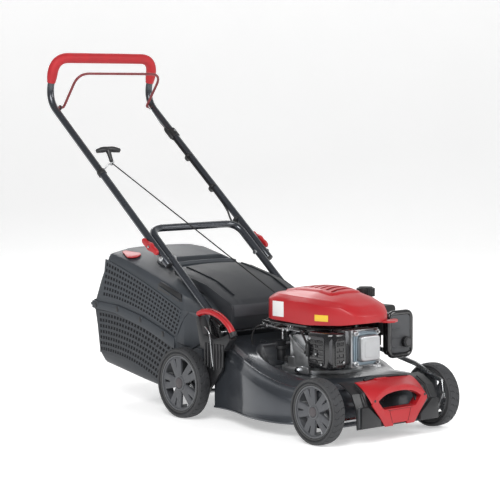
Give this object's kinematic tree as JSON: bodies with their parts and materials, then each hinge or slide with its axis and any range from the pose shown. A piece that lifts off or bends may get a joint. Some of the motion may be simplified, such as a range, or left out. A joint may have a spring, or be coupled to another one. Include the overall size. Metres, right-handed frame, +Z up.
{
  "type": "push lawn mower",
  "caption": "Walk-behind petrol rotary mower with rear grass box, folding handle, bail, recoil starter and height-adjustable wheels; cuts and collects grass.",
  "frame": {"origin": "centre of the whole mower's box across and lengthwise, on the floor under the tyres", "axes": "+Z up, +Y towards the rear (grass box and handle), +X across, to the left side as seen by the person pushing"},
  "size_m": [0.469, 1.3526, 1.0464],
  "materials": {
    "deck_paint": "satin dark grey enamel on pressed steel",
    "black_plastic": "fine grained black plastic",
    "red_plastic": "moulded red plastic, satin to gloss",
    "grey_plastic": "grained grey plastic",
    "box_plastic": "grained blue-grey plastic",
    "foam_grip": "soft red foam sleeve",
    "bail_coating": "dark red plastic coated wire",
    "tube_paint": "gloss anthracite powder coat",
    "cast_alloy": "die cast, slightly rough",
    "black_enamel": "heat proof black enamel",
    "iron": "dull dark metal",
    "steel": "zinc plated",
    "rope": "braided black cord",
    "cable_sheath": "smooth black sheath",
    "tyre_rubber": "dusty grooved tread",
    "rim_plastic": "dark grey grained plastic"
  },
  "bodies": {
    "chassis": {"deck": "deck_paint", "bracket_right": "deck_paint", "bracket_left": "deck_paint", "front_apron": "black_plastic", "front_cover": "red_plastic", "engine_block": "cast_alloy", "cylinder_head": "cast_alloy", "valve_cover": "cast_alloy", "muffler_guard": "black_enamel", "muffler": "iron", "engine_cowl": "red_plastic", "fuel_tank": "black_plastic", "carburettor": "black_plastic", "air_filter_box": "black_plastic", "air_filter_cover": "grey_plastic", "oil_filler": "black_plastic", "control_plate": "black_plastic", "handle_lower": "tube_paint", "fold_bolt_right": "steel", "fold_bolt_left": "steel", "starter_rope": "rope", "brake_cable_lower": "cable_sheath", "flap_pin": "steel"},
    "front_axle": {"front_axle": "steel"},
    "rear_axle": {"rear_axle": "steel", "height_lever": "black_plastic", "height_lever_grip": "red_plastic"},
    "height_link": {"height_link": "steel"},
    "wheel_front_right": {"tyre_front_right": "tyre_rubber", "rim_front_right": "rim_plastic"},
    "wheel_front_left": {"tyre_front_left": "tyre_rubber", "rim_front_left": "rim_plastic"},
    "wheel_rear_right": {"tyre_rear_right": "tyre_rubber", "rim_rear_right": "rim_plastic"},
    "wheel_rear_left": {"tyre_rear_left": "tyre_rubber", "rim_rear_left": "rim_plastic"},
    "blade_shaft": {"crankshaft": "steel", "blade_holder": "iron", "blade": "steel", "blade_bolt": "steel", "flywheel": "iron"},
    "starter_drum": {"starter_drum": "black_plastic"},
    "flap": {"flap": "black_plastic"},
    "grass_box": {"box_upper": "box_plastic", "box_lower": "box_plastic"},
    "fill_indicator": {"fill_indicator": "red_plastic"},
    "handle_upper": {"handle_upper": "tube_paint", "grip_sleeve": "foam_grip", "rope_guide": "steel", "cable_bracket": "black_plastic", "brake_cable_upper": "cable_sheath"},
    "bail": {"bail": "bail_coating"},
    "starter_handle": {"starter_handle": "black_plastic"},
    "wing_nut_right": {"wing_nut_right": "red_plastic"},
    "wing_nut_left": {"wing_nut_left": "red_plastic"},
    "fuel_cap": {"fuel_cap": "black_plastic"},
    "oil_cap": {"oil_cap": "black_plastic"},
    "filter_knob": {"filter_knob": "black_plastic"},
    "brake_lever": {"brake_lever": "steel"}
  },
  "joints": [
    {"name": "height_adjust", "type": "hinge", "parent": "chassis", "child": "rear_axle", "pos_m": [0, -0.0631, 0.075], "axis": [-1, 0, 0], "range_deg": [0, 48]},
    {"name": "height_front", "type": "hinge", "parent": "chassis", "child": "front_axle", "pos_m": [0, -0.6266, 0.063], "axis": [-1, 0, 0], "range_deg": [0, 48]},
    {"name": "link_pivot", "type": "hinge", "parent": "rear_axle", "child": "height_link", "pos_m": [0.186, -0.0831, 0.109], "axis": [-1, 0, 0], "range_deg": [-48, 0]},
    {"name": "spin_front_right", "type": "hinge", "parent": "front_axle", "child": "wheel_front_right", "pos_m": [0, -0.5833, 0.088], "axis": [1, 0, 0], "continuous": true},
    {"name": "spin_front_left", "type": "hinge", "parent": "front_axle", "child": "wheel_front_left", "pos_m": [0, -0.5833, 0.088], "axis": [1, 0, 0], "continuous": true},
    {"name": "spin_rear_right", "type": "hinge", "parent": "rear_axle", "child": "wheel_rear_right", "pos_m": [0, -0.0198, 0.1], "axis": [1, 0, 0], "continuous": true},
    {"name": "spin_rear_left", "type": "hinge", "parent": "rear_axle", "child": "wheel_rear_left", "pos_m": [0, -0.0198, 0.1], "axis": [1, 0, 0], "continuous": true},
    {"name": "blade_spin", "type": "hinge", "parent": "chassis", "child": "blade_shaft", "pos_m": [0, -0.3683, 0], "axis": [0, 0, -1], "continuous": true},
    {"name": "starter_pull", "type": "slide", "parent": "handle_upper", "child": "starter_handle", "axis": [0, 0.45, 0.893], "range_m": [0, 0.45], "stiffness_N_per_m": 12, "springref_m": -0.3},
    {"name": "starter_drum_turn", "type": "hinge", "parent": "chassis", "child": "starter_drum", "pos_m": [0, -0.3683, 0], "axis": [0, 0, -1], "range_deg": [0, 806]},
    {"name": "flap_hinge", "type": "hinge", "parent": "chassis", "child": "flap", "pos_m": [0, -0.1423, 0.252], "axis": [1, 0, 0], "range_deg": [0, 20], "stiffness_Nm_per_rad": 0.4, "springref_deg": -45.84},
    {"name": "box_slide", "type": "slide", "parent": "chassis", "child": "grass_box", "axis": [0, 1, 0], "range_m": [0, 0.35]},
    {"name": "indicator_hinge", "type": "hinge", "parent": "grass_box", "child": "fill_indicator", "pos_m": [-0.152, 0.343, 0.44748], "axis": [-0.9751, 0.0381, -0.2182], "range_deg": [0, 25]},
    {"name": "handle_fold", "type": "hinge", "parent": "chassis", "child": "handle_upper", "pos_m": [0, 0.0967, 0.444], "axis": [1, 0, 0], "range_deg": [0, 140], "deforming": ["starter_rope", "brake_cable_lower", "brake_cable_upper"]},
    {"name": "wing_nut_right_turn", "type": "hinge", "parent": "handle_upper", "child": "wing_nut_right", "pos_m": [-0.208, 0.13908, 0.47747], "axis": [1, 0, 0], "continuous": true},
    {"name": "wing_nut_left_turn", "type": "hinge", "parent": "handle_upper", "child": "wing_nut_left", "pos_m": [0.208, 0.13908, 0.47747], "axis": [1, 0, 0], "continuous": true},
    {"name": "bail_hinge", "type": "hinge", "parent": "handle_upper", "child": "bail", "pos_m": [0, 0.63964, 0.87789], "axis": [-1, 0, 0], "range_deg": [0, 36], "stiffness_Nm_per_rad": 0.6, "springref_deg": -34.38},
    {"name": "brake_lever_turn", "type": "hinge", "parent": "chassis", "child": "brake_lever", "pos_m": [-0.084, -0.2533, 0.274], "axis": [0, 0, 1], "range_deg": [0, 20]},
    {"name": "fuel_cap_turn", "type": "hinge", "parent": "chassis", "child": "fuel_cap", "pos_m": [0.142, -0.3933, 0], "axis": [0, 0, 1], "range_deg": [0, 90]},
    {"name": "oil_cap_turn", "type": "hinge", "parent": "chassis", "child": "oil_cap", "pos_m": [-0.088, -0.2973, 0], "axis": [0, 0, 1], "range_deg": [0, 90]},
    {"name": "filter_knob_turn", "type": "hinge", "parent": "chassis", "child": "filter_knob", "pos_m": [0.16, -0.5433, 0.234], "axis": [0, 1, 0], "range_deg": [0, 180]}
  ],
  "couplings": [
    {"joint": "height_front", "follows": "height_adjust", "ratio": 1},
    {"joint": "link_pivot", "follows": "height_adjust", "ratio": -1},
    {"joint": "starter_drum_turn", "follows": "starter_pull", "rad_per_m": 31.25},
    {"joint": "brake_lever_turn", "follows": "bail_hinge", "ratio": 0.55}
  ]
}
